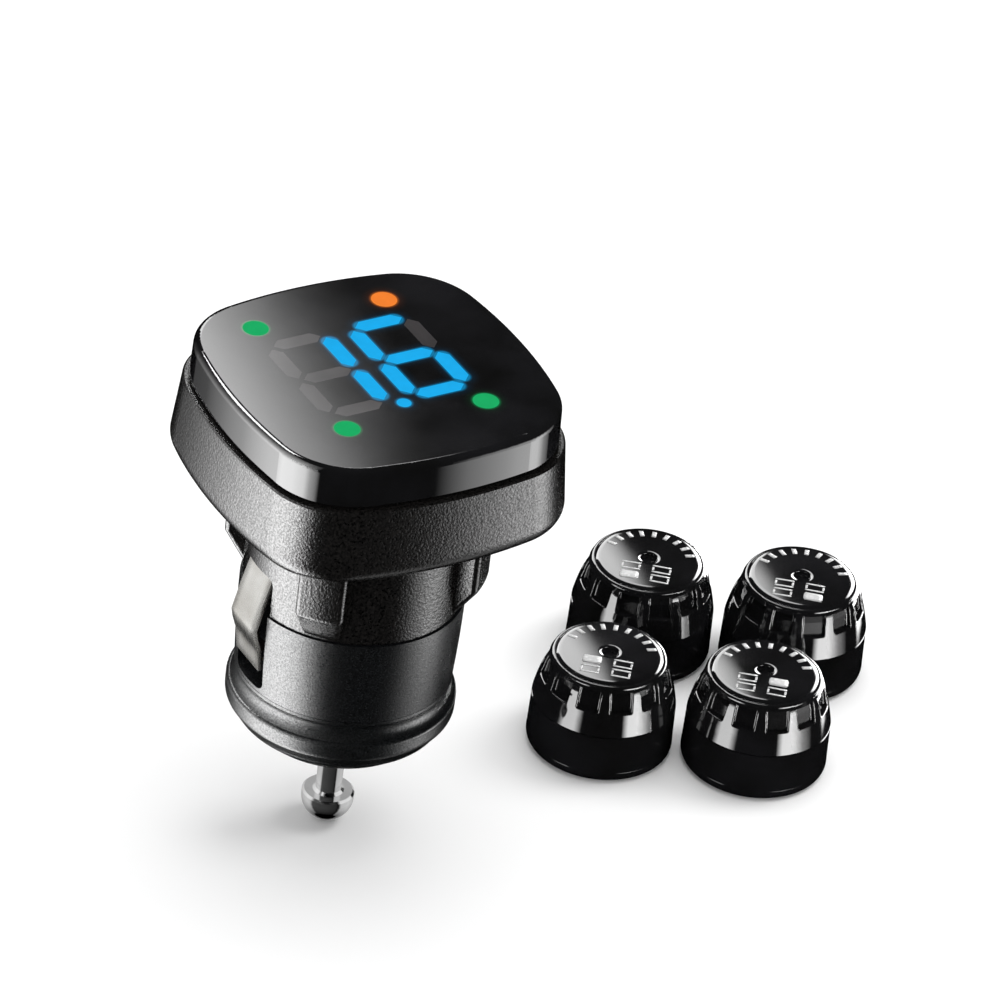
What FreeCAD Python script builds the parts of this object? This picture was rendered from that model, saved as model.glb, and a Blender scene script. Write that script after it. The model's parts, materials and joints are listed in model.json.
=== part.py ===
import FreeCAD, Part
import math
import os

# Tyre pressure monitor: a display that plugs into a 12 V accessory socket, and four valve-cap sensors.
# Millimetres. +Z runs up the plug's axis from the end of its centre contact to the display face.
# +X is to the right and +Y is up as the display is read.

V = FreeCAD.Vector

# ---- driving dimensions: plug, sized by the 21 mm bore of an accessory socket ----
FLANGE_R = 10.45          # nose flange, which pilots the plug in the socket
FLANGE_LOW, FLANGE_HIGH = 14.1, 15.0
NOSE_LOW, NOSE_HIGH = 9.25, 17.5
NOSE_TOP_R = 9.9
SLEEVE_TOP = 26.1
SLEEVE_TOP_R = 10.2
SPIGOT_R = 8.2            # sleeve's threaded spigot inside the nose cap
RUN_FIT = 0.05            # radial clearance of a turning or sliding fit
PIN_R = 2.41
PIN_STEM_R = 1.2
PIN_COLLAR_LOW, PIN_COLLAR_HIGH = 10.3, 11.3
FUSE_LOW, FUSE_HIGH, FUSE_R = 17.0, 32.0, 2.6
SLOT_W, SLOT_LOW, SLOT_HIGH = 4.8, 17.9, 30.0
LEAF_W, LEAF_T = 4.2, 0.4

# ---- driving dimensions: head ----
COLLAR_R = 10.0
COLLAR_BORE_R = 8.6
FIN_R, FIN_ANGLE, FIN_EDGE_R = 12.0, 22.0, 0.5
HEAD_LOW, HEAD_SEAM, HEAD_TOP = 37.3, 45.0, 49.0
HEAD_HALF, HEAD_FLARE_HALF = 15.2, 15.85     # the tray widens towards its underside
HEAD_WALL_HALF = 13.3
HEAD_FLOOR = 39.9
HEAD_CORNER_R, HEAD_LOW_R = 7.4, 1.7          # outline corners, and the underside's rounding
SIDE_BOW_R = 47.0         # radius of the gently bowed sides of the rounded-square outline
CAP_GAP = 0.35            # shadow gap that the face closes when it is pressed
CAP_HALF_LOW, CAP_HALF_TOP = 14.7, 14.6
CAP_PLATE = 1.2
SKIRT_HALF, SKIRT_LOW, SKIRT_T = 13.2, 43.0, 1.0
BOARD_LOW, BOARD_HIGH, BOARD_HALF = 41.0, 42.0, 13.1
INLAY_DEPTH = 0.4

# ---- driving dimensions: display artwork, on the face ----
ART_TURN = 1.2
DIGIT_X = (-4.6, 3.7)
DIGIT_Y = 0.93
DIGIT_W, DIGIT_H = 5.5, 11.25
BAR_T = 1.5
BAR_GAP = 0.36
POINT_AT, POINT_R = (-0.4, -5.4), 0.66
GREEN_AT = ((-7.08, 9.7), (6.6, -7.75), (-7.12, -7.15))
ORANGE_AT = ((6.04, 9.7),)
DOT_R = 1.18
LIT = (("b", "c"), ("a", "c", "d", "e", "f", "g"))     # the display reads 1.6

# ---- driving dimensions: sensors, which screw on a tyre valve in place of its cap ----
SENSOR_R, SENSOR_H = 6.8, 9.8
SENSOR_ACROSS, SENSOR_BACK, SENSOR_SHIFT = 14.42, 15.94, 2.97
SENSOR_TURN = -31.6
SENSOR_CENTRE = (41.0, 3.6)
VALVE_THREAD_R = 3.87     # 8V1 valve thread, 7.75 mm
THREAD_LOW, THREAD_HIGH = 0.35, 3.95
SEAL_TOP, INSERT_TOP, INSERT_R = 4.33, 4.85, 4.71
COVER_LOW, COVER_SHOULDER = 5.05, 7.0
SENSOR_SPIGOT_R, SPIGOT_TOP = 5.9, 6.5
SENSOR_BORE_R = 5.25
CELL_LOW, CELL_R, CELL_T = 6.0, 5.0, 2.5                # CR1025 coin cell
WINDOWS, WINDOW_W, WINDOW_LOW, WINDOW_TOP = 12, 2.0, 7.35, 9.3
WINDOW_EDGE_R = 0.14


def export(name, shape):
    shape.exportStep("parts/" + name + ".step")


def group(shapes):
    return Part.makeCompound(list(shapes))


def fused(first, *rest):
    result = first
    for shape in rest:
        result = result.fuse(shape)
    return result.removeSplitter()


def box(x0, x1, y0, y1, z0, z1):
    return Part.makeBox(x1 - x0, y1 - y0, z1 - z0, V(x0, y0, z0))


def rod(r, z0, z1, x=0.0, y=0.0):
    return Part.makeCylinder(r, z1 - z0, V(x, y, z0))


def ring(r_out, r_in, z0, z1, x=0.0, y=0.0):
    return rod(r_out, z0, z1, x, y).cut(rod(r_in, z0 - 1, z1 + 1, x, y))


def profile_wire(points):
    """Closed wire in the XZ plane. A point is (r, z), or (r, z, r_mid, z_mid) to reach it by an arc."""
    edges = []
    for here, there in zip(points, points[1:] + points[:1]):
        start = V(here[0], 0, here[1])
        end = V(there[0], 0, there[1])
        if len(there) == 4:
            edges.append(Part.Arc(start, V(there[2], 0, there[3]), end).toShape())
        else:
            edges.append(Part.LineSegment(start, end).toShape())
    return Part.Wire(edges)


def turned(points, angle=360.0, start=0.0):
    """Solid of revolution about Z of an (r, z) outline."""
    solid = Part.Face(profile_wire(points)).revolve(V(0, 0, 0), V(0, 0, 1), angle)
    solid.rotate(V(0, 0, 0), V(0, 0, 1), start)
    return solid


def rounded_square(half, corner_r, z):
    """Outline with four bowed sides and four tangent corner arcs."""
    shift = SIDE_BOW_R - half
    reach = SIDE_BOW_R - corner_r
    c = (-shift + math.sqrt(2 * reach * reach - shift * shift)) / 2
    length = math.hypot(c + shift, c)
    tx = -shift + SIDE_BOW_R * (c + shift) / length
    ty = SIDE_BOW_R * c / length
    tip = c + corner_r / math.sqrt(2)
    side = Part.Arc(V(tx, -ty, z), V(half, 0, z), V(tx, ty, z)).toShape()
    corner = Part.Arc(V(tx, ty, z), V(tip, tip, z), V(ty, tx, z)).toShape()
    edges = []
    for quarter in range(4):
        for edge in (side, corner):
            copy = edge.copy()
            copy.rotate(V(0, 0, 0), V(0, 0, 1), 90 * quarter)
            edges.append(copy)
    return Part.Wire(edges)


def rounded_block(half, corner_r, z0, z1):
    return Part.Face(rounded_square(half, corner_r, z0)).extrude(V(0, 0, z1 - z0))


def edges_at(solid, z):
    """Edges of a solid that lie wholly at one height."""
    found = []
    for edge in solid.Edges:
        b = edge.BoundBox
        if abs(b.ZMin - z) < 1e-3 and abs(b.ZMax - z) < 1e-3:
            found.append(edge)
    return found


def middle_radius(edge):
    middle = edge.valueAt((edge.FirstParameter + edge.LastParameter) / 2)
    return math.hypot(middle.x, middle.y)


# ---- display artwork ----

def place_art(shape):
    shape.rotate(V(0, 0, 0), V(0, 0, 1), ART_TURN)
    return shape


def bar(cx, cy, length, upright):
    """One seven-segment bar: a strip with pointed ends."""
    a = length / 2
    t = BAR_T / 2
    corners = [(-a, 0), (t - a, t), (a - t, t), (a, 0), (a - t, -t), (t - a, -t)]
    if upright:
        corners = [(-y, x) for x, y in corners]
    wire = Part.makePolygon([V(cx + x, cy + y, HEAD_TOP - INLAY_DEPTH) for x, y in corners + corners[:1]])
    return Part.Face(wire).extrude(V(0, 0, INLAY_DEPTH))


def digit_bars(cx):
    w, h = DIGIT_W / 2, DIGIT_H / 2
    across = DIGIT_W - 2 * BAR_GAP
    up = h - 2 * BAR_GAP
    layout = {
        "a": (cx, DIGIT_Y + h, across, False),
        "g": (cx, DIGIT_Y, across, False),
        "d": (cx, DIGIT_Y - h, across, False),
        "b": (cx + w, DIGIT_Y + h / 2, up, True),
        "c": (cx + w, DIGIT_Y - h / 2, up, True),
        "f": (cx - w, DIGIT_Y + h / 2, up, True),
        "e": (cx - w, DIGIT_Y - h / 2, up, True),
    }
    return {name: bar(*spot) for name, spot in layout.items()}


def face_dot(x, y, r):
    return rod(r, HEAD_TOP - INLAY_DEPTH, HEAD_TOP, x, y)


def make_artwork():
    lit, dark = [], []
    for cx, lit_names in zip(DIGIT_X, LIT):
        for name, solid in digit_bars(cx).items():
            (lit if name in lit_names else dark).append(solid)
    lit.append(face_dot(POINT_AT[0], POINT_AT[1], POINT_R))
    green = [face_dot(x, y, DOT_R) for x, y in GREEN_AT]
    orange = [face_dot(x, y, DOT_R) for x, y in ORANGE_AT]
    return {
        "lit_segments": place_art(group(lit)),
        "unlit_segments": place_art(group(dark)),
        "green_lights": place_art(group(green)),
        "orange_light": place_art(group(orange)),
    }


# ---- head ----

SWITCH_AT = (-0.5, -9.6)
HOOK_W, HOOK_OUT, HOOK_T = 5.0, 0.55, 0.6
PRESS_TRAVEL = 0.3
SWITCH_TOP = 43.6
PLUNGER_TOP = 45.4


def four_sides(shape):
    copies = []
    for quarter in range(4):
        copy = shape.copy()
        copy.rotate(V(0, 0, 0), V(0, 0, 1), 90 * quarter)
        copies.append(copy)
    return copies


def make_display_cap(artwork):
    low = HEAD_SEAM + CAP_GAP
    plate_low = HEAD_TOP - CAP_PLATE
    shell = Part.makeLoft([rounded_square(CAP_HALF_LOW, HEAD_CORNER_R, low),
                           rounded_square(CAP_HALF_TOP, HEAD_CORNER_R, HEAD_TOP)], True, True)
    shell = shell.makeFillet(0.65, edges_at(shell, HEAD_TOP))
    inner_half = SKIRT_HALF - SKIRT_T
    shell = shell.cut(rounded_block(inner_half, 4.6, low - 1, plate_low))
    skirt = rounded_block(SKIRT_HALF, 5.2, SKIRT_LOW, low + 0.5)
    skirt = skirt.cut(rounded_block(inner_half, 4.6, SKIRT_LOW - 1, low + 1))
    hook = box(SKIRT_HALF - 0.4, SKIRT_HALF + HOOK_OUT, -HOOK_W / 2, HOOK_W / 2, SKIRT_LOW, SKIRT_LOW + HOOK_T)
    post = rod(1.4, PLUNGER_TOP, plate_low + 0.2, *SWITCH_AT)
    cap = fused(shell, skirt, post, *four_sides(hook))
    for node in artwork.values():
        cap = cap.cut(node)
    return cap


def screw_places():
    return [(-10.6, -2.0), (10.6, 2.0), (-3.5, 10.6), (4.5, -10.6)]


def make_head_base():
    tray = Part.makeLoft([rounded_square(HEAD_FLARE_HALF, HEAD_CORNER_R, HEAD_LOW),
                          rounded_square(HEAD_HALF, HEAD_CORNER_R, HEAD_SEAM)], True, True)
    tray = tray.makeFillet(HEAD_LOW_R, edges_at(tray, HEAD_LOW))
    tray = tray.makeChamfer(0.15, edges_at(tray, HEAD_SEAM))
    tray = tray.cut(rounded_block(HEAD_WALL_HALF, 5.3, HEAD_FLOOR, HEAD_SEAM + 1))
    collar = rod(COLLAR_R, SLEEVE_TOP + 0.12, HEAD_LOW + 0.6)
    parts = [collar]
    for corner in range(4):
        fin = turned([(9.0, 26.4), (COLLAR_R, 26.4), (FIN_R, 29.5), (FIN_R, HEAD_LOW + 0.6), (9.0, HEAD_LOW + 0.6)],
                     FIN_ANGLE, 45 + 90 * corner - FIN_ANGLE / 2)
        outer = [edge for edge in fin.Edges if COLLAR_R + 0.3 < middle_radius(edge) and edge.BoundBox.ZMin < HEAD_LOW]
        parts.append(fin.makeFillet(FIN_EDGE_R, outer))
    posts = [rod(1.5, HEAD_FLOOR - 0.2, BOARD_LOW, x, y) for x, y in screw_places()]
    base = fused(tray, *parts, *posts)
    base = base.cut(rod(COLLAR_BORE_R, SLEEVE_TOP - 1, HEAD_FLOOR + 0.01))
    for x, y in screw_places():
        base = base.cut(rod(0.72, HEAD_FLOOR - 0.6, BOARD_LOW + 1, x, y))
    pocket = box(HEAD_WALL_HALF - 0.5, SKIRT_HALF + HOOK_OUT + 0.1, -HOOK_W / 2 - 0.2, HOOK_W / 2 + 0.2,
                 SKIRT_LOW - PRESS_TRAVEL - 0.3, SKIRT_LOW + HOOK_T + 0.03)
    for cut in four_sides(pocket):
        base = base.cut(cut)
    for side in (-1, 1):
        base = base.cut(slot_cutter(side))
        base = base.cut(root_pocket(side))
    return base


def slot_cutter(side):
    """Rounded-end slot through the plug wall for a side contact."""
    x0, x1 = sorted((side * 6.0, side * 13.0))
    half = SLOT_W / 2
    cutter = box(x0, x1, -half, half, SLOT_LOW, SLOT_HIGH)
    upright = [e for e in cutter.Edges if abs(e.BoundBox.XLength - 7.0) < 1e-6]
    return cutter.makeFillet(0.8, upright)


def root_pocket(side):
    x0, x1 = sorted((side * 8.0, side * 9.7))
    return box(x0, x1, -SLOT_W / 2, SLOT_W / 2, SLOT_HIGH - 0.5, 32.1)


def make_boards_and_parts():
    board = rounded_block(BOARD_HALF, 5.0, BOARD_LOW, BOARD_HIGH)
    for x, y in screw_places():
        board = board.cut(rod(0.9, BOARD_LOW - 1, BOARD_HIGH + 1, x, y))
    screws = []
    for x, y in screw_places():
        head = rod(1.35, BOARD_HIGH, BOARD_HIGH + 0.8, x, y)
        head = head.cut(box(x - 1.0, x + 1.0, y - 0.15, y + 0.15, BOARD_HIGH + 0.45, BOARD_HIGH + 1))
        head = head.cut(box(x - 0.15, x + 0.15, y - 1.0, y + 1.0, BOARD_HIGH + 0.45, BOARD_HIGH + 1))
        screws.append(fused(head, rod(0.7, HEAD_FLOOR - 0.5, BOARD_HIGH + 0.1, x, y)))
    sx, sy = SWITCH_AT
    switch = box(sx - 2.0, sx + 2.0, sy - 1.5, sy + 1.5, BOARD_HIGH, SWITCH_TOP)
    switch = switch.cut(rod(0.85, BOARD_HIGH + 0.4, SWITCH_TOP + 1, sx, sy))
    plunger = rod(0.8, BOARD_HIGH + 0.4 + PRESS_TRAVEL + 0.1, PLUNGER_TOP, sx, sy)
    module = box(-8.7, 7.8, -6.2, 7.9, BOARD_HIGH, HEAD_TOP - CAP_PLATE - 0.6)
    wells = []
    for cx in DIGIT_X:
        for name, solid in digit_bars(cx).items():
            solid.translate(V(0, 0, -CAP_PLATE - 0.6))
            wells.append(solid)
    for well in wells:
        module = module.cut(well)
    module = place_art(module)
    leds = []
    for x, y in GREEN_AT + ORANGE_AT:
        leds.append(place_art(box(x - 0.8, x + 0.8, y - 0.6, y + 0.6, BOARD_HIGH, BOARD_HIGH + 0.7)))
    return {
        "display_board": board,
        "board_screws": group(screws),
        "tact_switch": switch,
        "tact_plunger": plunger,
        "led_module": module,
        "status_leds": group(leds),
        "control_chip": box(-12.2, -9.4, 4.0, 8.6, BOARD_LOW - 0.9, BOARD_LOW),
        "radio_chip": box(9.4, 12.2, -8.0, -4.4, BOARD_LOW - 0.8, BOARD_LOW),
        "buzzer": ring(4.5, 0.6, BOARD_LOW - 3.2, BOARD_LOW - 0.01, 0.0, -3.4),
        "antenna_coil": make_antenna(),
    }


def make_antenna():
    """Coiled radio aerial that lies along the back edge of the board's underside."""
    helix = Part.makeHelix(0.7, 7.0, 0.36)
    section = Part.Wire(Part.makeCircle(0.12, V(0.36, 0, 0), V(0, 1, 0)))
    coil = Part.Wire(helix).makePipeShell([section], True, True)
    coil.rotate(V(0, 0, 0), V(0, 1, 0), 90)
    coil.translate(V(2.0, 9.6, BOARD_LOW - 0.53))
    return coil


# ---- plug ----

def make_plug_sleeve():
    sleeve = turned([(SPIGOT_R, 14.9), (SPIGOT_R, NOSE_HIGH + 0.05), (NOSE_TOP_R, NOSE_HIGH + 0.05),
                     (SLEEVE_TOP_R, SLEEVE_TOP, 10.12, 21.8),
                     (COLLAR_BORE_R - RUN_FIT, SLEEVE_TOP), (COLLAR_BORE_R - RUN_FIT, 31.2), (8.0, 31.2),
                     (8.0, 20.2), (7.0, 19.2), (7.0, 14.9)])
    for side in (-1, 1):
        sleeve = sleeve.cut(slot_cutter(side))
        x0, x1 = sorted((side * 6.0, side * 9.0))
        sleeve = sleeve.cut(box(x0, x1, -SLOT_W / 2, SLOT_W / 2, SLOT_HIGH - 1, 32.0))
    return sleeve


def make_nose_cap():
    """Screw-on nose: a dome, a rounded flange, and a hollow flare up to the sleeve."""
    hole_r = PIN_STEM_R + 0.1
    return turned([(hole_r, NOSE_LOW), (2.6, NOSE_LOW), (8.9, 11.95, 6.3, 10.03), (9.66, 12.7, 9.37, 12.27),
                   (10.36, 13.7), (FLANGE_R, FLANGE_LOW, 10.43, 13.9), (FLANGE_R, FLANGE_HIGH),
                   (10.12, 15.45, 10.36, 15.33), (NOSE_TOP_R, 17.2, 9.64, 16.2), (NOSE_TOP_R, NOSE_HIGH),
                   (SPIGOT_R + RUN_FIT, NOSE_HIGH), (SPIGOT_R + RUN_FIT, 14.6), (6.0, 14.6), (6.0, 12.6),
                   (3.6, 10.3), (hole_r, 10.3)])


def make_contact_pin():
    """Centre contact: domed head on a stem, with a collar that the nose cap retains."""
    r = PIN_R
    return turned([(0, 0), (r, 2.35, 0.72 * r, 0.72), (r, 2.85), (r - 0.2, 3.05), (PIN_STEM_R + 0.25, 3.05),
                   (PIN_STEM_R, 3.3), (PIN_STEM_R, PIN_COLLAR_LOW), (2.9, PIN_COLLAR_LOW),
                   (2.9, PIN_COLLAR_HIGH), (1.2, PIN_COLLAR_HIGH), (1.2, 12.6), (0, 12.6)])


SPRING_WIRE_R, SPRING_R = 0.22, 2.2


def make_contact_spring():
    height = FUSE_LOW - PIN_COLLAR_HIGH - 2 * SPRING_WIRE_R - 0.02
    helix = Part.makeHelix(height / 5, height, SPRING_R)
    section = Part.Wire(Part.makeCircle(SPRING_WIRE_R, V(SPRING_R, 0, 0), V(0, 1, 0)))
    coil = Part.Wire(helix).makePipeShell([section], True, True)
    coil.translate(V(0, 0, PIN_COLLAR_HIGH + SPRING_WIRE_R + 0.01))
    return coil


CLIP_LOW = 27.6
POWER_Y = 3.6


def make_plug_inside():
    cap_len = 4.5
    tube = ring(FUSE_R - 0.25, FUSE_R - 0.85, FUSE_LOW + 0.4, FUSE_HIGH - 0.4)
    cup = rod(FUSE_R, FUSE_LOW, FUSE_LOW + cap_len).cut(rod(FUSE_R - 0.25, FUSE_LOW + 0.4, FUSE_LOW + cap_len + 1))
    top_cup = rod(FUSE_R, FUSE_HIGH - cap_len, FUSE_HIGH)
    top_cup = top_cup.cut(rod(FUSE_R - 0.25, FUSE_HIGH - cap_len - 1, FUSE_HIGH - 0.4))
    wire = rod(0.1, FUSE_LOW + 0.4, FUSE_HIGH - 0.4)
    clip = ring(FUSE_R + 0.45, FUSE_R, CLIP_LOW + 0.4, FUSE_HIGH)
    clip = clip.fuse(rod(FUSE_R + 0.45, FUSE_HIGH, FUSE_HIGH + 0.5))
    clip = clip.cut(box(-0.8, 0.8, -4, 0, CLIP_LOW - 1, FUSE_HIGH))
    board = box(-5.6, 5.6, POWER_Y - 0.5, POWER_Y + 0.5, 21.0, 36.4)
    coil_can = box(-2.4, 2.4, POWER_Y + 0.5, POWER_Y + 3.0, 24.0, 28.6)
    bridge = box(-1.6, 1.6, POWER_Y + 0.5, POWER_Y + 1.7, 30.0, 33.2)
    capacitor = Part.makeCylinder(1.2, 2.2, V(3.4, POWER_Y + 0.5, 22.6), V(0, 1, 0))
    pins = [box(x - 0.25, x + 0.25, POWER_Y - 1.0, POWER_Y - 0.5, 34.6, BOARD_LOW) for x in (-3.0, -1.0, 1.0, 3.0)]
    header = box(-4.0, 4.0, POWER_Y - 1.75, POWER_Y - 1.0, 34.9, 36.4)
    carrier = ring(COLLAR_BORE_R - RUN_FIT, 6.9, 31.4, 34.4)
    for side in (-1, 1):
        x0, x1 = sorted((side * 8.0, side * 9.05))
        carrier = carrier.fuse(box(x0, x1, -1.9, 1.9, 31.4, 32.05))
    bar_y = box(-7.4, 7.4, POWER_Y - 1.3, POWER_Y + 1.3, 33.3, 34.4).common(rod(7.4, 33, 35))
    carrier = carrier.fuse(bar_y)
    carrier = carrier.cut(box(-5.62, 5.62, POWER_Y - 0.52, POWER_Y + 0.52, 30, 37))
    carrier = carrier.cut(rod(FUSE_R + 0.5, 30, 35))
    return {
        "fuse_tube": tube,
        "fuse_caps": group([cup, top_cup]),
        "fuse_wire": wire,
        "fuse_clip": clip,
        "power_board": board,
        "power_components": group([coil_can, bridge, capacitor]),
        "board_connector": fused(header, *pins),
        "inner_carrier": carrier.removeSplitter(),
        "nose_washer": ring(5.0, 3.1, 14.62, 15.3),
    }


LEAF_LINE = ((9.3, 31.75), (9.35, 30.2), (9.75, 28.8), (10.2, 27.25), (10.86, 24.5), (10.7, 23.7), (10.2, 22.2),
             (9.9, 20.1))
LEAF_BEND_R = 0.5


def leaf_side(offset):
    """Points beside the leaf's centre line, at an even distance from it."""
    points = []
    for i, (r, z) in enumerate(LEAF_LINE):
        normals = []
        for (r0, z0), (r1, z1) in (LEAF_LINE[max(i - 1, 0):][:2], LEAF_LINE[min(i, len(LEAF_LINE) - 2):][:2]):
            length = math.hypot(r1 - r0, z1 - z0)
            normals.append(((z0 - z1) / length, (r1 - r0) / length))
        (ar, az), (br, bz) = normals
        share = offset / (1 + ar * br + az * bz)
        points.append(V(r + (ar + br) * share, 0, z + (az + bz) * share))
    return points


def make_side_contact(side):
    """Sprung leaf bowed out through the slot, pivoting at its trapped upper end."""
    outline = leaf_side(LEAF_T / 2) + leaf_side(-LEAF_T / 2)[::-1]
    leaf = Part.Face(Part.makePolygon(outline + outline[:1])).extrude(V(0, LEAF_W, 0))
    leaf.translate(V(0, -LEAF_W / 2, 0))
    ends = (LEAF_LINE[0][1] - 0.3, LEAF_LINE[-1][1] + 0.3)
    bends = [e for e in leaf.Edges if e.BoundBox.YLength > LEAF_W / 2 and ends[1] < e.BoundBox.ZMin < ends[0]]
    leaf = leaf.makeFillet(LEAF_BEND_R, bends)
    if side < 0:
        leaf.rotate(V(0, 0, 0), V(0, 0, 1), 180)
    return leaf


# ---- sensors ----

def sensor_places():
    places = []
    turn = math.radians(SENSOR_TURN)
    for back in (-1, 1):
        for across in (-1, 1):
            u = across * SENSOR_ACROSS / 2 + back * SENSOR_SHIFT / 2
            v = back * SENSOR_BACK / 2
            places.append((SENSOR_CENTRE[0] + u * math.cos(turn) - v * math.sin(turn),
                           SENSOR_CENTRE[1] + u * math.sin(turn) + v * math.cos(turn)))
    return places


def sensor_base():
    """Lower case, with the spigot that the cover screws down over."""
    return turned([(INSERT_R + 0.01, 0), (6.15, 0), (SENSOR_R, 1.15, 6.62, 0.36), (6.72, COVER_LOW - 0.1),
                   (6.6, COVER_LOW - 0.01), (SENSOR_SPIGOT_R, COVER_LOW - 0.01), (SENSOR_SPIGOT_R, SPIGOT_TOP),
                   (SENSOR_BORE_R, SPIGOT_TOP), (SENSOR_BORE_R, INSERT_TOP), (INSERT_R + 0.01, INSERT_TOP)])


def window_cutter(index):
    """Recess that a tool grips, from a ledge up to the shoulder."""
    outline = profile_wire([(5.66, WINDOW_LOW), (7.5, WINDOW_LOW), (7.5, WINDOW_TOP), (5.05, WINDOW_TOP), (5.42, 8.55)])
    cutter = Part.Face(outline).extrude(V(0, WINDOW_W, 0))
    cutter.translate(V(0, -WINDOW_W / 2, 0))
    cutter.rotate(V(0, 0, 0), V(0, 0, 1), (index + 0.5) * 360.0 / WINDOWS)
    return cutter


def sensor_cover():
    skirt_r = SENSOR_SPIGOT_R + RUN_FIT
    cell_r = CELL_R + 0.12
    body = turned([(skirt_r, COVER_LOW), (6.6, COVER_LOW), (6.7, COVER_LOW + 0.1), (5.93, 8.2, 6.36, 6.7),
                   (5.4, 9.5, 5.73, 8.93), (5.1, SENSOR_H, 5.31, 9.73), (0, SENSOR_H), (0, 8.85), (4.8, 8.85),
                   (cell_r, 8.55), (cell_r, COVER_SHOULDER), (skirt_r, COVER_SHOULDER)])
    for index in range(WINDOWS):
        body = body.cut(window_cutter(index))
    rims = []
    for edge in body.Edges:
        b = edge.BoundBox
        outer = middle_radius(edge) > 5.78 + (WINDOW_LOW - (b.ZMin + b.ZMax) / 2) * 0.34
        upright = b.ZLength > 0.5 and WINDOW_LOW < b.ZMax < WINDOW_TOP + 0.01
        sill = b.ZMax < WINDOW_LOW + 0.01 and b.ZMin > WINDOW_LOW - 0.01
        if outer and (upright or sill):
            rims.append(edge)
    body = body.makeFillet(WINDOW_EDGE_R, rims)
    dimple = turned([(0, SENSOR_H - 0.22), (0.58, SENSOR_H - 0.22), (0.62, SENSOR_H - 0.08),
                     (0.74, SENSOR_H + 0.1), (0, SENSOR_H + 0.1)])
    return body.cut(dimple)


def valve_insert():
    """Brass insert: valve thread with a groove above it for the seal, and a small pressure port."""
    groove_r = VALVE_THREAD_R + 0.4
    return turned([(VALVE_THREAD_R + 0.25, 0.12), (INSERT_R, 0.12), (INSERT_R, INSERT_TOP), (0.5, INSERT_TOP),
                   (0.5, SEAL_TOP), (groove_r, SEAL_TOP), (groove_r, THREAD_HIGH), (VALVE_THREAD_R, THREAD_HIGH),
                   (VALVE_THREAD_R, THREAD_LOW)])


def sensor_nodes():
    board_top = INSERT_TOP + 0.55
    board = rod(SENSOR_BORE_R - 0.05, INSERT_TOP + 0.03, board_top)
    sensor_chip = box(-1.5, 1.5, -1.5, 1.5, board_top, CELL_LOW - 0.05)
    return {
        "base": sensor_base(),
        "cover": sensor_cover(),
        "valve_insert": valve_insert(),
        "valve_seal": ring(VALVE_THREAD_R + 0.35, 1.9, THREAD_HIGH + 0.02, SEAL_TOP - 0.02),
        "circuit_board": fused(board, sensor_chip),
        "coin_cell": rod(CELL_R, CELL_LOW, CELL_LOW + CELL_T),
        "cover_seal": ring(SENSOR_SPIGOT_R, SENSOR_BORE_R, SPIGOT_TOP + 0.02, COVER_SHOULDER - 0.02),
    }


def make_sensors():
    """Four alike; each node is placed at its own sensor."""
    nodes = {}
    pattern = sensor_nodes()
    for number, (x, y) in enumerate(sensor_places(), 1):
        for name, first in pattern.items():
            shape = first.copy()
            shape.rotate(V(0, 0, 0), V(0, 0, 1), SENSOR_TURN)
            shape.translate(V(x, y, 0))
            nodes["sensor_{}_{}".format(number, name)] = shape
    return nodes


def main():
    os.makedirs("parts", exist_ok=True)
    artwork = make_artwork()
    nodes = dict(artwork)
    nodes["display_cap"] = make_display_cap(artwork)
    nodes["head_base"] = make_head_base()
    nodes.update(make_boards_and_parts())
    nodes["plug_sleeve"] = make_plug_sleeve()
    nodes["nose_cap"] = make_nose_cap()
    nodes["contact_pin"] = make_contact_pin()
    nodes["contact_spring"] = make_contact_spring()
    nodes["side_contact_right"] = make_side_contact(1)
    nodes["side_contact_left"] = make_side_contact(-1)
    nodes.update(make_plug_inside())
    nodes.update(make_sensors())
    for name, shape in nodes.items():
        bad = [] if shape.isValid() else ["INVALID"]
        print(name, len(shape.Solids), round(shape.Volume, 2), *bad)
        export(name, shape)


main()
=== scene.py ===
import bpy
import bmesh
import json
import math
from mathutils import Matrix, Vector

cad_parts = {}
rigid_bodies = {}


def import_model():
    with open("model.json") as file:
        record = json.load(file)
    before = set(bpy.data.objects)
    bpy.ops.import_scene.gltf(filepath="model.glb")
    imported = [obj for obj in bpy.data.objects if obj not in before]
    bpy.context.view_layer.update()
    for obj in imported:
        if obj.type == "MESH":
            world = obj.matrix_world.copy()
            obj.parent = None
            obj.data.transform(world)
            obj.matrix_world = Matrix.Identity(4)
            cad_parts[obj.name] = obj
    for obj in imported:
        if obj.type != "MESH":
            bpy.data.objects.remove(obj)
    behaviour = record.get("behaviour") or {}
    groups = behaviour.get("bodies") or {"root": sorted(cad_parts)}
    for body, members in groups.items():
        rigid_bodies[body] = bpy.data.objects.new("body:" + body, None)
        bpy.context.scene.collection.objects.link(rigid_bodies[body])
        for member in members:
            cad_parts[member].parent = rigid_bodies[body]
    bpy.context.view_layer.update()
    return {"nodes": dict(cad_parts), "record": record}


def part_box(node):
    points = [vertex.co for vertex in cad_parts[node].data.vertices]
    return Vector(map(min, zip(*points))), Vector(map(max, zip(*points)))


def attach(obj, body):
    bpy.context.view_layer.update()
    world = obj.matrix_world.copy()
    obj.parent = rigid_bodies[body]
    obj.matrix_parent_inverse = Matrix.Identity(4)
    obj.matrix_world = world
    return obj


# A tyre pressure monitor: display unit on a socket plug, with four valve-cap sensors.
# Metres, in the CAD model's frame: +Z up the plug's axis, display read with +X to its right.

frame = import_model()

MM = 0.001
SENSORS = (1, 2, 3, 4)
SIDE_CONTACTS = ("side_contact_left", "side_contact_right")
CENTRE_CONTACT = "contact_pin"

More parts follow.
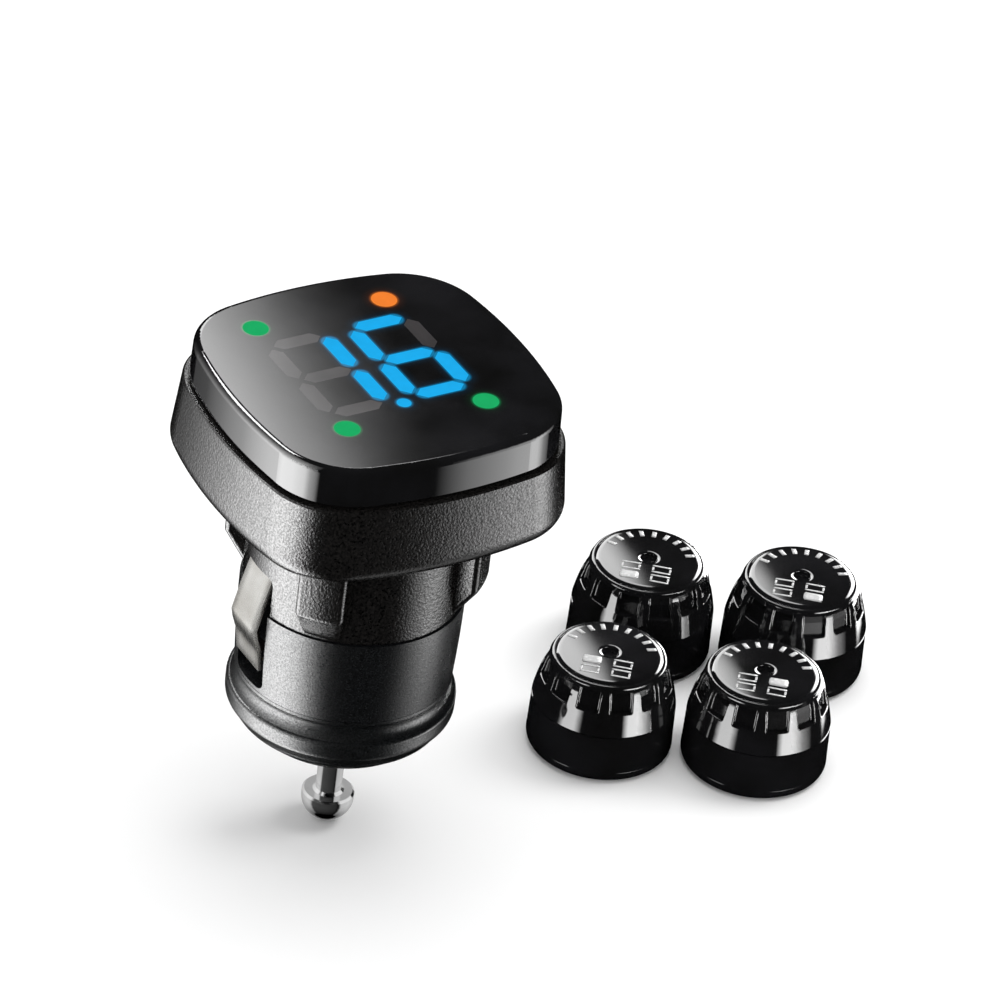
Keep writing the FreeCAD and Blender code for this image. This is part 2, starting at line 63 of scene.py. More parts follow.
# ---- camera and stage ----
VIEW_AZIMUTH, VIEW_ELEVATION, VIEW_ROLL = -31.8, 34.8, 6.8     # degrees
VIEW_DISTANCE = 0.8618
VIEW_LENS, VIEW_SENSOR = 345.6, 36                             # mm
AIM_POINT = Vector((0, 0, 0.0251))                             # a point on the plug's axis...
AIM_ACROSS, AIM_UP = -0.0133, -0.0081                          # ...and where it lies from the view's centre
MIRROR_AZIMUTH = VIEW_AZIMUTH + 90                             # where a level face mirrors the view
LIGHT_TARGET = Vector((0.015, 0, 0.01))                        # between the display's axis and the sensors
CARD_DISTANCE, DISC_CARD_DISTANCE = 0.6, 3.0
COLUMNS_PER_STOP, ROWS_PER_STOP = 6, 4                         # a card's mesh cells between two stops
FLOOR_HALF = 3.0
FLOOR_WHITE, FLOOR_ROUGH = 0.93, 0.9
SKY_STRENGTH = 0.8
PLUG_MIDDLE = (0, 0, 0.03)                                     # centre of the cards round the display unit


def view_axes():
    """Right, up and forward of the view before it turns to its aim."""
    azimuth, elevation = math.radians(VIEW_AZIMUTH), math.radians(VIEW_ELEVATION)
    roll = math.radians(VIEW_ROLL)
    level = Vector((-math.sin(azimuth), math.cos(azimuth), 0))
    across = Vector((math.cos(azimuth), math.sin(azimuth), 0))
    forward = level * math.cos(elevation) - Vector((0, 0, math.sin(elevation)))
    up = level * math.sin(elevation) + Vector((0, 0, math.cos(elevation)))
    right = across * math.cos(roll) + up * math.sin(roll)
    up = up * math.cos(roll) - across * math.sin(roll)
    return right, up, forward


def make_camera():
    """Camera at its distance from AIM_POINT, turned so that the point lies off the centre."""
    right, up, forward = view_axes()
    place = AIM_POINT - forward * VIEW_DISTANCE
    forward = (forward * VIEW_DISTANCE - right * AIM_ACROSS - up * AIM_UP).normalized()
    right = (right - forward * right.dot(forward)).normalized()
    up = right.cross(forward)
    data = bpy.data.cameras.new("view")
    data.lens = VIEW_LENS
    data.sensor_width = VIEW_SENSOR
    data.clip_start, data.clip_end = 0.01, 20
    camera = bpy.data.objects.new("view", data)
    bpy.context.scene.collection.objects.link(camera)
    camera.matrix_world = Matrix.Translation(place) @ Matrix((right, up, -forward)).transposed().to_4x4()
    bpy.context.scene.camera = camera


def way(azimuth, elevation):
    """Unit vector at a compass angle from +X and a height angle, both in degrees."""
    a, e = math.radians(azimuth), math.radians(elevation)
    return Vector((math.cos(a) * math.cos(e), math.sin(a) * math.cos(e), math.sin(e)))


def softbox(name, azimuth, elevation, distance, size, power, shaded_by=None):
    """Soft light that shapes light and shadow; gloss sees the reflectors instead.

    With shaded_by, only the pieces in that collection cast its shadow.
    """
    data = bpy.data.lights.new(name, "AREA")
    data.shape = "DISK"
    data.size = size
    data.energy = power
    light = bpy.data.objects.new(name, data)
    bpy.context.scene.collection.objects.link(light)
    aim = way(azimuth, elevation)
    light.matrix_world = (Matrix.Translation(LIGHT_TARGET + aim * distance)
                          @ (-aim).to_track_quat("-Z", "Y").to_matrix().to_4x4())
    light.visible_camera = False
    light.visible_glossy = False
    if shaded_by:
        light.light_linking.blocker_collection = shaded_by


def glow_material():
    """Glow as strong as the mesh's level attribute, on a card that is clear to the light behind it."""
    finish = bpy.data.materials.new("reflector_glow")
    finish.use_nodes = True
    nodes, links = finish.node_tree.nodes, finish.node_tree.links
    nodes.clear()
    level = nodes.new("ShaderNodeAttribute")
    level.attribute_name = "level"
    glow = nodes.new("ShaderNodeEmission")
    clear = nodes.new("ShaderNodeBsdfTransparent")
    both = nodes.new("ShaderNodeAddShader")
    out = nodes.new("ShaderNodeOutputMaterial")
    links.new(level.outputs["Fac"], glow.inputs["Strength"])
    links.new(glow.outputs["Emission"], both.inputs[0])
    links.new(clear.outputs["BSDF"], both.inputs[1])
    links.new(both.outputs["Shader"], out.inputs["Surface"])
    return finish


def reflector(name, centre, levels, heights, seen_by, lean=0.0, distance=CARD_DISTANCE):
    """Glowing curved card, seen only in the gloss of the pieces in seen_by.

    Levels are (azimuth, strength) stops along it, and heights are (elevation, share) stops up it.
    Lean shifts the azimuth by that much for each degree of elevation above the middle.
    """
    columns, rows = stops_between(levels, COLUMNS_PER_STOP), stops_between(heights, ROWS_PER_STOP)
    middle = (heights[0][0] + heights[-1][0]) / 2
    points, strengths = [], []
    for azimuth, strength in columns:
        for elevation, share in rows:
            points.append(Vector(centre) + way(azimuth + lean * (elevation - middle), elevation) * distance)
            strengths.append(strength * share)
    n = len(rows)
    faces = [(c * n + r, (c + 1) * n + r, (c + 1) * n + r + 1, c * n + r + 1)
             for c in range(len(columns) - 1) for r in range(n - 1)]
    mesh = bpy.data.meshes.new(name)
    mesh.from_pydata(points, [], faces)
    mesh.attributes.new("level", "FLOAT", "POINT").data.foreach_set("value", strengths)
    mesh.materials.append(CARD_GLOW)
    card = bpy.data.objects.new(name, mesh)
    bpy.context.scene.collection.objects.link(card)
    card.visible_camera = False
    card.visible_diffuse = False
    card.visible_shadow = False
    card.visible_transmission = False
    card.light_linking.receiver_collection = seen_by


def stops_between(stops, count):
    """Fills in evenly between (position, value) stops."""
    filled = []
    for (p0, v0), (p1, v1) in zip(stops, stops[1:]):
        filled += [(p0 + (p1 - p0) * i / count, v0 + (v1 - v0) * i / count) for i in range(count)]
    return filled + [stops[-1]]


def make_stage():
    """Pale floor, unseen in gloss, under an even white sky."""
    half = FLOOR_HALF
    mesh = bpy.data.meshes.new("floor")
    corners = [(-half, -half, 0), (half, -half, 0), (half, half, 0), (-half, half, 0)]
    mesh.from_pydata(corners, [], [(0, 1, 2, 3)])
    floor = bpy.data.objects.new("floor", mesh)
    bpy.context.scene.collection.objects.link(floor)
    floor.visible_glossy = False
    finish, _, _, shader = new_material("floor_white")
    shader.inputs["Base Color"].default_value = (FLOOR_WHITE, FLOOR_WHITE, FLOOR_WHITE, 1)
    shader.inputs["Roughness"].default_value = FLOOR_ROUGH
    shader.inputs["Specular IOR Level"].default_value = 0.0
    mesh.materials.append(finish)
    world = bpy.data.worlds.new("studio")
    world.use_nodes = True
    sky = world.node_tree.nodes["Background"]
    sky.inputs["Color"].default_value = (1, 1, 1, 1)
    sky.inputs["Strength"].default_value = SKY_STRENGTH
    world.cycles_visibility.glossy = False
    bpy.context.scene.world = world
    bpy.context.scene.view_settings.view_transform = "Standard"


def collect(name, wanted):
    """Collection of the CAD nodes whose names pass a test, for light linking."""
    collection = bpy.data.collections.new(name)
    for node, piece in frame["nodes"].items():
        if wanted(node):
            collection.objects.link(piece)
    return collection


def is_sensor(node):
    """True for the CAD nodes of all four sensors."""
    return node.startswith("sensor_")


def make_lights():
    """Two soft lights, and the cards that gloss sees in their place."""
    softbox("overhead_light", azimuth=58, elevation=80, distance=0.9, size=0.9, power=3.4)
    low_pieces = collect("low_pieces", lambda node: node == CENTRE_CONTACT or is_sensor(node))
    softbox("key_light", azimuth=-5, elevation=50, distance=0.7, size=0.34, power=1.5,
            shaded_by=low_pieces)
    make_display_cards()
    make_contact_cards()
    make_sensor_cards()


def make_display_cards():
    """Cards for the display unit. Its three contacts have their own."""
    contacts = (*SIDE_CONTACTS, CENTRE_CONTACT)
    display = collect("display_gloss", lambda node: not is_sensor(node) and node not in contacts)
    face = (0, 0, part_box("display_cap")[1][2])
    reflector("face_card", face,
              ((57.4, 0), (58.3, 0.4), (58.8, 1.0), (60.0, 3.8), (60.8, 6.4), (62, 8), (70, 8.6)),
              ((19, 1), (49, 1)), display, lean=-0.8)
    reflector("rim_card", face,
              ((82, 0), (88, 24), (112, 24), (118, 0)),
              ((38, 1), (60, 1)), display)
    reflector("left_card", PLUG_MIDDLE,
              ((100, 0.1), (112, 0.4), (120, 1.3), (130, 3.0), (142, 7.5), (152, 13), (172, 15.5), (190, 14),
               (198, 7), (206, 4), (211, 0)),
              ((-75, 0.5), (-60, 0.9), (-15, 1), (10, 0.6), (40, 0.3), (60, 0.1)), display)
    reflector("right_card", PLUG_MIDDLE,
              ((296, 0), (304, 2.8), (314, 4.8), (326, 8.2), (334, 7), (345, 2.3), (356, 0.4)),
              ((-75, 0.1), (-40, 0.15), (-35, 0.3), (-31, 0.9), (-4, 1), (6, 0.25), (12, 0)), display)


def make_contact_cards():
    """Dimmer cards that wrap further round, because bare metal mirrors so much more."""
    leaves = collect("leaf_gloss", lambda node: node in SIDE_CONTACTS)
    reflector("leaf_card", PLUG_MIDDLE,
              ((95, 0.1), (112, 0.7), (125, 1.1), (150, 1.1), (170, 0.5), (185, 0.1), (235, 0.1), (255, 0.6),
               (300, 1.1), (335, 1.1), (360, 0.6), (400, 0.3), (455, 0.1)),
              ((-60, 0.15), (-46, 0.35), (-39, 1.15), (-27, 1.15), (-20, 0.7), (-14, 0.85), (10, 1.1)),
              leaves)
    pin = collect("pin_gloss", lambda node: node == CENTRE_CONTACT)
    reflector("pin_card", PLUG_MIDDLE,
              ((296, 0), (306, 1.0), (350, 1.1), (400, 0.8), (418, 0.5), (440, 0.8), (500, 1.1), (522, 1.0),
               (534, 0.12), (640, 0.05), (656, 0)),
              ((-70, 0.1), (-50, 0.5), (-30, 0.8), (60, 1)), pin)


def make_sensor_cards():
    """Two upright cards for the sensors' walls, and two for their labels."""
    sensors = collect("sensor_gloss", is_sensor)
    for piece in bpy.context.scene.objects:
        if piece.name.endswith(("_label", "_marks")):
            sensors.objects.link(piece)
    group = tuple((Vector(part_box("sensor_1_cover")[0]) + Vector(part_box("sensor_4_cover")[1])) / 2)
    wall_heights = ((-27, 0), (-18, 1), (10, 1), (20, 0))
    reflector("sensor_left_card", group, ((171, 0), (180, 12), (198, 13), (209, 0)), wall_heights, sensors)
    reflector("sensor_right_card", group, ((269, 0), (278, 17), (294, 17), (312, 4), (328, 0)), wall_heights,
              sensors)
    mirror = MIRROR_AZIMUTH
    reflector("disc_card", group,
              ((mirror - 1.3, 0), (mirror - 0.1, 5), (mirror + 1.1, 8), (96, 11)),
              ((12, 1), (60, 1)), sensors, lean=-0.3, distance=DISC_CARD_DISTANCE)
    reflector("disc_rim_card", group,
              ((352, 0), (358, 16), (404, 20), (410, 0)),
              ((-24, 0), (-18, 1), (26, 1), (30, 0)), sensors)


# ---- materials ----

NOISE_LOW, NOISE_HIGH = 0.3, 0.7        # most of a noise's values lie between these
TONE_LOW, TONE_HIGH = 0.32, 0.68        # where a two-tone colour reaches its ends
GLINT = (0.34, 0.64)                    # specular level of a spark grain, from pits to peaks
ROUGH_SWING = 0.05
METAL_GRAIN, METAL_DEPTH = 2500, 0.01 * MM              # grains per metre, and their depth
RIPPLE_DEPTH = 0.02 * MM
RIPPLE_GRAIN, SPECK_GRAIN = 140, 5000                   # per metre
BLUE, GREEN, ORANGE = (0.0, 0.42, 0.88), (0.0, 0.42, 0.12), (0.93, 0.22, 0.02)
BLACK, NEAR_BLACK = (0.004, 0.004, 0.004), (0.008, 0.008, 0.009)
WINDOW_GRAIN, WINDOW_DIM = 900, 0.93                    # per metre, and the darker tone's share
WINDOW_BASE, WINDOW_ROUGH = (0.01, 0.01, 0.01), 0.35
HALO_EDGE, HALO_HAZE = 0.3 * MM, 1.1 * MM               # how far each reaches past a window's rim
HALO_EDGE_GLOW, HALO_HAZE_GLOW = 0.4, 0.035
HALO_DEPTH = 0.05 * MM                                  # the halo shows only this far below the cap's top


def new_material(name):
    """Material with its node tree's nodes, links and shader."""
    finish = bpy.data.materials.new(name)
    finish.use_nodes = True
    nodes, links = finish.node_tree.nodes, finish.node_tree.links
    return finish, nodes, links, nodes["Principled BSDF"]


def noise(nodes, links, scale, detail=3.0, roughness=0.55, stretch=(1, 1, 1)):
    """Noise that is fixed to the piece; scale is features per metre."""
    place = nodes.new("ShaderNodeTexCoord")
    mapping = nodes.new("ShaderNodeMapping")
    mapping.inputs["Scale"].default_value = stretch
    texture = nodes.new("ShaderNodeTexNoise")
    texture.inputs["Scale"].default_value = scale
    texture.inputs["Detail"].default_value = detail
    texture.inputs["Roughness"].default_value = roughness
    links.new(place.outputs["Object"], mapping.inputs["Vector"])
    links.new(mapping.outputs["Vector"], texture.inputs["Vector"])
    return texture.outputs["Fac"]


def spread(nodes, links, value, low, high):
    """Maps a noise value to a range."""
    ranged = nodes.new("ShaderNodeMapRange")
    ranged.inputs["From Min"].default_value = NOISE_LOW
    ranged.inputs["From Max"].default_value = NOISE_HIGH
    ranged.inputs["To Min"].default_value = low
    ranged.inputs["To Max"].default_value = high
    links.new(value, ranged.inputs["Value"])
    return ranged.outputs["Result"]


def two_tone(nodes, links, value, dark, light):
    """Colour that a noise value blends from dark to light."""
    ramp = nodes.new("ShaderNodeValToRGB")
    ramp.color_ramp.elements[0].position = TONE_LOW
    ramp.color_ramp.elements[1].position = TONE_HIGH
    ramp.color_ramp.elements[0].color = (*dark, 1)
    ramp.color_ramp.elements[1].color = (*light, 1)
    links.new(value, ramp.inputs["Fac"])
    return ramp.outputs["Color"]


def bumped(nodes, links, shader, layers):
    """Adds bump layers: (height, strength, distance in metres)."""
    previous = None
    for height, strength, distance in layers:
        bump = nodes.new("ShaderNodeBump")
        bump.inputs["Strength"].default_value = strength
        bump.inputs["Distance"].default_value = distance
        links.new(height, bump.inputs["Height"])
        if previous:
            links.new(previous, bump.inputs["Normal"])
        previous = bump.outputs["Normal"]
    links.new(previous, shader.inputs["Normal"])


def spark_plastic(name, dark, light, grain, rough, depth):
    """Moulded plastic with a fine spark-eroded grain: pits, and peaks that catch the light."""
    finish, nodes, links, shader = new_material(name)
    fine = noise(nodes, links, grain, 1.0)
    peaks = noise(nodes, links, grain * 1.3, 0.0)
    links.new(two_tone(nodes, links, fine, dark, light), shader.inputs["Base Color"])
    dull = spread(nodes, links, fine, rough + ROUGH_SWING, rough - ROUGH_SWING)
    links.new(dull, shader.inputs["Roughness"])
    links.new(spread(nodes, links, peaks, *GLINT), shader.inputs["Specular IOR Level"])
    bumped(nodes, links, shader, [(fine, 1.0, depth)])
    return finish


def gloss_plastic(name, dark, light, rough):
    """Polished black moulding with a very faint flow ripple."""
    finish, nodes, links, shader = new_material(name)
    smear = noise(nodes, links, RIPPLE_GRAIN, 3.0)
    speck = noise(nodes, links, SPECK_GRAIN, 2.0)
    links.new(two_tone(nodes, links, smear, dark, light), shader.inputs["Base Color"])
    links.new(spread(nodes, links, smear, rough * 0.7, rough * 1.3), shader.inputs["Roughness"])
    bumped(nodes, links, shader, [(smear, 0.05, RIPPLE_DEPTH), (speck, 0.02, RIPPLE_DEPTH / 4)])
    return finish


def metal(name, dark, light, rough, stretch=(1, 1, 1), bend=0.0):
    """Plated or drawn metal.

    Stretch draws the marks out along an axis. Bend is a radius that softens the shading of creases.
    """
    finish, nodes, links, shader = new_material(name)
    shader.inputs["Metallic"].default_value = 1.0
    marks = noise(nodes, links, METAL_GRAIN, 3.0, stretch=stretch)
    tarnish = noise(nodes, links, 250, 3.0)
    links.new(two_tone(nodes, links, tarnish, dark, light), shader.inputs["Base Color"])
    links.new(spread(nodes, links, marks, rough * 0.75, rough * 1.3), shader.inputs["Roughness"])
    bumped(nodes, links, shader, [(marks, 0.15, METAL_DEPTH)])
    if bend:
        soft = nodes.new("ShaderNodeBevel")
        soft.inputs["Radius"].default_value = bend
        links.new(soft.outputs["Normal"], shader.inputs["Normal"].links[0].from_node.inputs["Normal"])
    return finish


def light_window(name, colour):
    """Lit window: glows almost evenly, with no gloss of its own."""
    finish, nodes, links, shader = new_material(name)
    cloud = noise(nodes, links, WINDOW_GRAIN, 2.0)
    dim = tuple(c * WINDOW_DIM for c in colour)
    tone = two_tone(nodes, links, cloud, dim, colour)
    shader.inputs["Base Color"].default_value = (*WINDOW_BASE, 1)
    links.new(tone, shader.inputs["Emission Color"])
    shader.inputs["Emission Strength"].default_value = 1.0
    shader.inputs["Roughness"].default_value = WINDOW_ROUGH
    shader.inputs["Specular IOR Level"].default_value = 0.0
    return finish


def islands(node):
    """Separate pieces of a CAD node's mesh, as lists of corner places."""
    mesh = frame["nodes"][node].data
    bm = bmesh.new()
    bm.from_mesh(mesh)
    bmesh.ops.remove_doubles(bm, verts=bm.verts, dist=1e-6)
    left = set(bm.verts)
    found = []
    while left:
        to_visit = [left.pop()]
        island = []
        while to_visit:
            vert = to_visit.pop()
            island.append(vert.co.copy())
            for edge in vert.link_edges:
                other = edge.other_vert(vert)
                if other in left:
                    left.remove(other)
                    to_visit.append(other)
        found.append(island)
    bm.free()
    return found


def glow_line(corners):
    """Two ends and a radius of the rounded bar that a lit window fills."""
    middle = sum(corners, Vector()) / len(corners)
    tip = max(corners, key=lambda c: (c - middle).xy.length)
    long_way = (tip - middle).xy.normalized()
    half_long = max(abs((c - middle).xy.dot(long_way)) for c in corners)
    half_wide = max(abs((c - middle).xy.dot(Vector((-long_way.y, long_way.x)))) for c in corners)
    reach = long_way * (half_long - half_wide)
    return middle.xy - reach, middle.xy + reach, half_wide


def maths(nodes, links, kind, a, b=None, clamp=False):
    """Output of a maths node; a and b are numbers or sockets."""
    step = nodes.new("ShaderNodeMath")
    step.operation = kind
    step.use_clamp = clamp
    for socket, value in zip(step.inputs, (a, b)):
        if isinstance(value, (int, float)):
            socket.default_value = value
        elif value is not None:
            links.new(value, socket)
    return step.outputs["Value"]


def fade(nodes, links, gap, reach, strength):
    """Glow that falls with the square of what is left of its reach."""
    left = maths(nodes, links, "SUBTRACT", 1.0, maths(nodes, links, "DIVIDE", gap, reach), clamp=True)
    return maths(nodes, links, "MULTIPLY", maths(nodes, links, "MULTIPLY", left, left), strength)


def halo(nodes, links, axes, lines):
    """Strength of the light that bleeds out round lit windows: a tight edge and a faint wide haze."""
    nearest = None
    for start, end, radius in lines:
        along = end - start
        length = max(along.length, 1e-7)
        unit = along / length
        px = maths(nodes, links, "SUBTRACT", axes.outputs["X"], start.x)
        py = maths(nodes, links, "SUBTRACT", axes.outputs["Y"], start.y)
        reach = maths(nodes, links, "ADD", maths(nodes, links, "MULTIPLY", px, unit.x),
                      maths(nodes, links, "MULTIPLY", py, unit.y))
        reach = maths(nodes, links, "MINIMUM", maths(nodes, links, "MAXIMUM", reach, 0.0), length)
        dx = maths(nodes, links, "SUBTRACT", px, maths(nodes, links, "MULTIPLY", reach, unit.x))
        dy = maths(nodes, links, "SUBTRACT", py, maths(nodes, links, "MULTIPLY", reach, unit.y))
        square = maths(nodes, links, "ADD", maths(nodes, links, "MULTIPLY", dx, dx),
                       maths(nodes, links, "MULTIPLY", dy, dy))
        gap = maths(nodes, links, "SUBTRACT", maths(nodes, links, "SQRT", square), radius)
        nearest = gap if nearest is None else maths(nodes, links, "MINIMUM", nearest, gap)
    edge = fade(nodes, links, nearest, HALO_EDGE, HALO_EDGE_GLOW)
    haze = fade(nodes, links, nearest, HALO_HAZE, HALO_HAZE_GLOW)
    return maths(nodes, links, "ADD", edge, haze)


def face_plastic(name, dark, light):
    """The display cap's gloss black, with light bleeding through it round each lit window."""
    finish = gloss_plastic(name, dark, light, 0.05)
    nodes, links = finish.node_tree.nodes, finish.node_tree.links
    shader = nodes["Principled BSDF"]
    place = nodes.new("ShaderNodeTexCoord")
    axes = nodes.new("ShaderNodeSeparateXYZ")
    links.new(place.outputs["Object"], axes.inputs["Vector"])
    top = maths(nodes, links, "GREATER_THAN", axes.outputs["Z"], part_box("display_cap")[1][2] - HALO_DEPTH)
    total = None
    for node, colour in (("lit_segments", BLUE), ("green_lights", GREEN), ("orange_light", ORANGE)):
        lines = [glow_line(corners) for corners in islands(node)]
        strength = maths(nodes, links, "MULTIPLY", halo(nodes, links, axes, lines), top)
        tint = nodes.new("ShaderNodeVectorMath")
        tint.operation = "SCALE"
        tint.inputs[0].default_value = colour
        links.new(strength, tint.inputs["Scale"])
        if total is None:
            total = tint.outputs["Vector"]
        else:
            joined = nodes.new("ShaderNodeVectorMath")
            joined.operation = "ADD"
            links.new(total, joined.inputs[0])
            links.new(tint.outputs["Vector"], joined.inputs[1])
            total = joined.outputs["Vector"]
    links.new(total, shader.inputs["Emission Color"])
    shader.inputs["Emission Strength"].default_value = 1.0
    return finish


SPARK_FINISHES = {      # dark and light colours, grains per metre, roughness, grain depth in mm
    "textured_black": ((0.001, 0.001, 0.001), (0.011, 0.01, 0.0095), 4400, 0.23, 0.034),
    "satin_black": ((0.001, 0.001, 0.0015), (0.009, 0.01, 0.011), 5600, 0.31, 0.012),
    "grained_black": ((0.001, 0.0015, 0.0015), (0.009, 0.01, 0.011), 5000, 0.32, 0.014),
    "circuit_green": ((0.008, 0.06, 0.022), (0.014, 0.1, 0.04), 900, 0.35, 0.01),
    "chip_black": ((0.01, 0.01, 0.01), (0.03, 0.03, 0.03), 9000, 0.5, 0.01),
    "led_white": ((0.55, 0.55, 0.52), (0.7, 0.7, 0.67), 3000, 0.45, 0.01),
    "component_grey": ((0.05, 0.05, 0.055), (0.1, 0.1, 0.105), 4000, 0.5, 0.01),
    "header_black": ((0.012, 0.012, 0.012), (0.03, 0.03, 0.03), 5000, 0.45, 0.01),
    "nylon_natural": ((0.42, 0.4, 0.34), (0.52, 0.5, 0.44), 3000, 0.5, 0.01),
    "fibre_washer": ((0.16, 0.08, 0.045), (0.28, 0.16, 0.1), 5000, 0.75, 0.03),
    "rubber_black": ((0.01, 0.01, 0.01), (0.025, 0.025, 0.025), 4000, 0.65, 0.02),
    "label_print": ((0.3, 0.3, 0.3), (0.42, 0.42, 0.42), 4000, 0.5, 0.005),
}
METAL_FINISHES = {      # dark and light colours, roughness
    "chrome_pin": ((0.62, 0.62, 0.62), (0.8, 0.8, 0.8), 0.1),
    "spring_steel": ((0.4, 0.4, 0.4), (0.6, 0.6, 0.6), 0.3),
    "fuse_wire": ((0.4, 0.4, 0.4), (0.55, 0.55, 0.55), 0.35),
    "brass": ((0.5, 0.33, 0.12), (0.68, 0.48, 0.2), 0.25),
    "screw_steel": ((0.35, 0.35, 0.36), (0.55, 0.55, 0.56), 0.3),
    "copper": ((0.5, 0.22, 0.1), (0.7, 0.36, 0.2), 0.25),
    "cell_steel": ((0.45, 0.45, 0.46), (0.62, 0.62, 0.63), 0.25),
}


def make_materials():
    """Every finish by the name of its slot in the record, and the labels' print."""
    made = {
        "cap_gloss_black": face_plastic("cap_gloss_black", BLACK, NEAR_BLACK),
        "sensor_gloss_black": gloss_plastic("sensor_gloss_black", BLACK, NEAR_BLACK, 0.07),
        "smoked_segment": gloss_plastic("smoked_segment", (0.028, 0.026, 0.027), (0.036, 0.033, 0.034), 0.08),
        "blue_light": light_window("blue_light", BLUE),
        "green_light": light_window("green_light", GREEN),
        "orange_light": light_window("orange_light", ORANGE),
        "nickel": metal("nickel", (0.62, 0.6, 0.56), (0.8, 0.79, 0.76), 0.24, (1, 1, 0.12), bend=1.1 * MM),
        "fuse_glass": glass("fuse_glass"),
    }
    for name, (dark, light, grain, rough, depth) in SPARK_FINISHES.items():
        made[name] = spark_plastic(name, dark, light, grain, rough, depth * MM)
    for name, (dark, light, rough) in METAL_FINISHES.items():
        made[name] = metal(name, dark, light, rough)
    return made


def glass(name):
    """Clear tube with a slight haze."""
    finish, nodes, links, shader = new_material(name)
    haze = noise(nodes, links, 800, 2.0)
    shader.inputs["Base Color"].default_value = (0.95, 0.98, 0.97, 1)
    shader.inputs["Transmission Weight"].default_value = 1.0
    links.new(spread(nodes, links, haze, 0.02, 0.08), shader.inputs["Roughness"])
    return finish


def dress_cad(materials):
    """Gives every CAD node the procedural version of its record slot."""
    for entry in frame["record"]["subparts"]:
        node = frame["nodes"][entry["node"]]
        node.data.materials.clear()
        node.data.materials.append(materials[entry["material_slot"]])


# ---- sensor labels: a domed gloss disc with generic printed marks ----

LABEL_R, LABEL_HOLE_R = 5.0 * MM, 0.78 * MM
LABEL_T, LABEL_RISE = 0.2 * MM, 0.13 * MM            # thickness at the bevel, and the dome's extra height
LABEL_EDGE, LABEL_LIP = 0.3 * MM, 0.06 * MM          # width of the bevel, and of the slope at the hole
LABEL_TURN = -37.0                                   # degrees, so that the marks read from the front
DOME_STEPS, BEVEL_STEPS, AROUND_STEPS = 14, 6, 96
BEVEL_SLOPE = 0.6                                    # share of the bevel's fall that is straight, not curved
MARK_T = 0.02 * MM
TICK_IN, TICK_OUT, TICK_W = 3.55 * MM, 4.45 * MM, 0.42 * MM
TICK_ANGLES = range(22, 159, 17)                     # degrees
TICK_CELLS_LONG, TICK_CELLS_WIDE, PAD_CELLS = 3, 2, 4
PAD_W, PAD_H, PAD_LINE, PAD_CHAMFER = 1.8 * MM, 1.15 * MM, 0.2 * MM, 0.12 * MM
PAD_ACROSS, PAD_ALONG, PADS_MIDDLE = 1.45 * MM, 0.74 * MM, -2.4 * MM
# each sensor's pad: front left, front right, rear left, rear right
WHEELS = {1: (-1, 1), 2: (1, 1), 3: (-1, -1), 4: (1, -1)}


def dome_height(x, y):
    """Height of the label's dome above the cover's top at a place on it."""
    return LABEL_RISE * (1 - (x * x + y * y) / (LABEL_R * LABEL_R)) + LABEL_T


def add_piece(name, mesh, material, node):
    """Adds a smooth-shaded extra that rides with a CAD node's body."""
    mesh.materials.append(material)
    for polygon in mesh.polygons:
        polygon.use_smooth = True
    piece = bpy.data.objects.new(name, mesh)
    bpy.context.scene.collection.objects.link(piece)
    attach(piece, node)


def label_mesh(name, centre, top):
    """Turned shell: hole wall, dome and a barely rounded bevel down to the cover."""
    profile = [(LABEL_HOLE_R, 0.0), (LABEL_HOLE_R, LABEL_T)]
    first, last = LABEL_HOLE_R + LABEL_LIP, LABEL_R - LABEL_EDGE
    for i in range(DOME_STEPS + 1):
        r = first + (last - first) * i / DOME_STEPS
        profile.append((r, dome_height(r, 0)))
    for i in range(1, BEVEL_STEPS + 1):
        share = i / BEVEL_STEPS
        fall = share * (BEVEL_SLOPE + (1 - BEVEL_SLOPE) * share)
        profile.append((last + LABEL_EDGE * share, dome_height(last, 0) * (1 - fall)))
    points, faces = [], []
    for k in range(AROUND_STEPS):
        angle = 2 * math.pi * k / AROUND_STEPS
        points += [(centre.x + r * math.cos(angle), centre.y + r * math.sin(angle), top + z)
                   for r, z in profile]
    n = len(profile)
    for k in range(AROUND_STEPS):
        here, there = k * n, (k + 1) % AROUND_STEPS * n
        faces += [(here + i, there + i, there + i + 1, here + i + 1) for i in range(n - 1)]
    mesh = bpy.data.meshes.new(name)
    mesh.from_pydata(points, [], faces)
    return mesh


def print_marks(name, centre, top, patches):
    """Thin raised print laid on the dome. A patch is a grid of (x, y) rows in label axes."""
    turn = math.radians(LABEL_TURN)
    points, faces = [], []
    for rows in patches:
        start, width, height = len(points), len(rows[0]), len(rows)
        for lift in (0.0, MARK_T):
            for row in rows:
                for x, y in row:
                    points.append((centre.x + x * math.cos(turn) - y * math.sin(turn),
                                   centre.y + x * math.sin(turn) + y * math.cos(turn),
                                   top + dome_height(x, y) + lift))
        layer = width * height
        for j in range(height - 1):
            for i in range(width - 1):
                a = start + j * width + i
                faces.append((a + layer, a + layer + 1, a + layer + width + 1, a + layer + width))
        rim = [start + i for i in range(width)]
        rim += [start + j * width + width - 1 for j in range(1, height)]
        rim += [start + (height - 1) * width + i for i in range(width - 2, -1, -1)]
        rim += [start + j * width for j in range(height - 2, 0, -1)]
        faces += [(a, b, b + layer, a + layer) for a, b in zip(rim, rim[1:] + rim[:1])]
    mesh = bpy.data.meshes.new(name)
    mesh.from_pydata(points, [], faces)
    return mesh


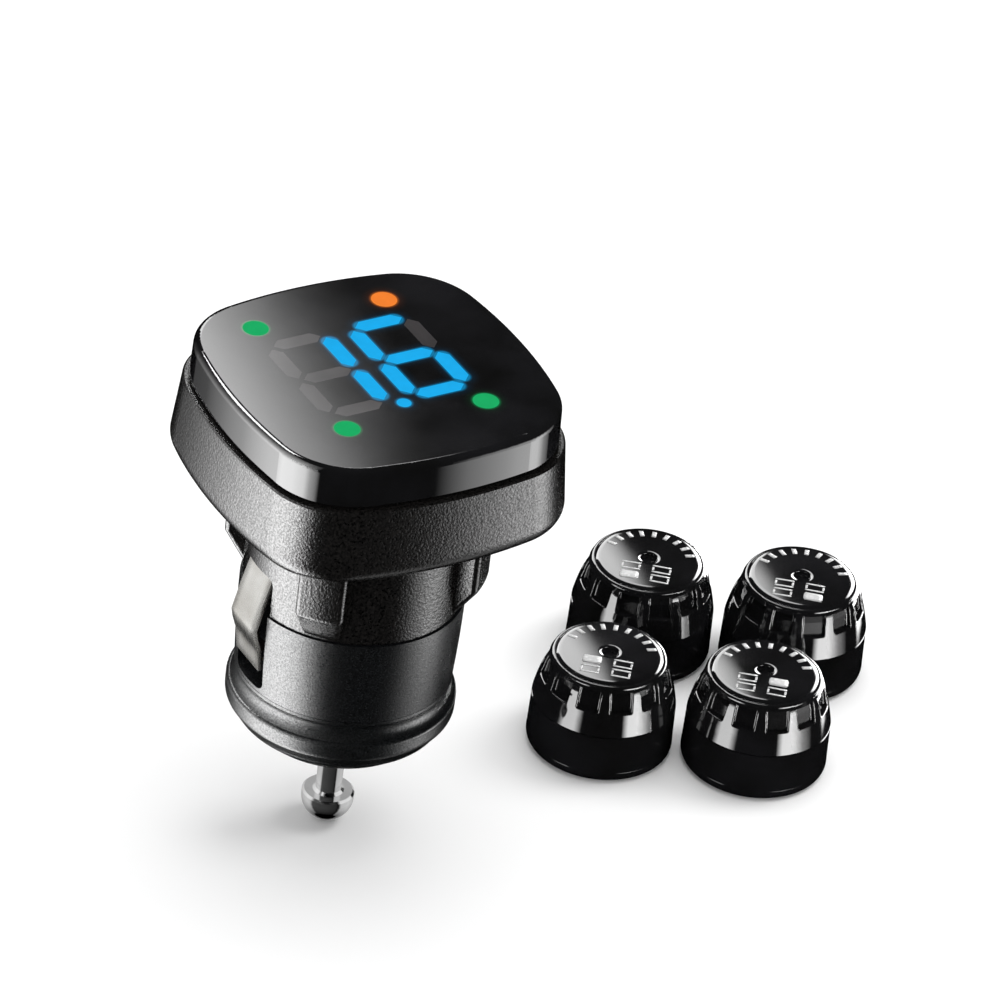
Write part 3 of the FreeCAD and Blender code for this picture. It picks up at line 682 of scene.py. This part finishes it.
def tick(angle):
    """Radial dash of the scale round the label's far side."""
    a = math.radians(angle)
    along, across = Vector((math.cos(a), math.sin(a))), Vector((-math.sin(a), math.cos(a)))
    rows = []
    for j in range(TICK_CELLS_LONG + 1):
        middle = along * (TICK_IN + (TICK_OUT - TICK_IN) * j / TICK_CELLS_LONG)
        rows.append([tuple(middle + across * (TICK_W * (i / TICK_CELLS_WIDE - 0.5)))
                     for i in range(TICK_CELLS_WIDE + 1)])
    return rows


def pad(x, y, width, height):
    """Small rectangle with chamfered corners, as a grid of rows."""
    rows = []
    for j in range(PAD_CELLS + 1):
        v = y + height * (j / PAD_CELLS - 0.5)
        inset = PAD_CHAMFER if j in (0, PAD_CELLS) else 0.0
        rows.append([(x + (width - 2 * inset) * (i / PAD_CELLS - 0.5), v) for i in range(PAD_CELLS + 1)])
    return rows


def pad_outline(x, y):
    """Four thin bars round an unfilled pad."""
    half_w, half_h, upright = (PAD_W - PAD_LINE) / 2, (PAD_H - PAD_LINE) / 2, PAD_H - 2 * PAD_LINE
    return [pad(x, y + half_h, PAD_W, PAD_LINE), pad(x, y - half_h, PAD_W, PAD_LINE),
            pad(x - half_w, y, PAD_LINE, upright), pad(x + half_w, y, PAD_LINE, upright)]


def make_label(number, materials):
    """Label and its marks on one sensor's cover: a scale, and four pads with this wheel's filled."""
    node = "sensor_%d_cover" % number
    low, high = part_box(node)
    centre = Vector(((low[0] + high[0]) / 2, (low[1] + high[1]) / 2))
    top = high[2]
    label = label_mesh("sensor_%d_label" % number, centre, top)
    add_piece("sensor_%d_label" % number, label, materials["sensor_gloss_black"], node)
    patches = [tick(angle) for angle in TICK_ANGLES]
    for side, end in WHEELS.values():
        x, y = side * PAD_ACROSS, PADS_MIDDLE + end * PAD_ALONG
        if (side, end) == WHEELS[number]:
            patches.append(pad(x, y, PAD_W, PAD_H))
        else:
            patches += pad_outline(x, y)
    marks = print_marks("sensor_%d_marks" % number, centre, top, patches)
    add_piece("sensor_%d_marks" % number, marks, materials["label_print"], node)


CARD_GLOW = glow_material()
materials = make_materials()
dress_cad(materials)
for number in SENSORS:
    make_label(number, materials)
make_stage()
make_lights()
make_camera()
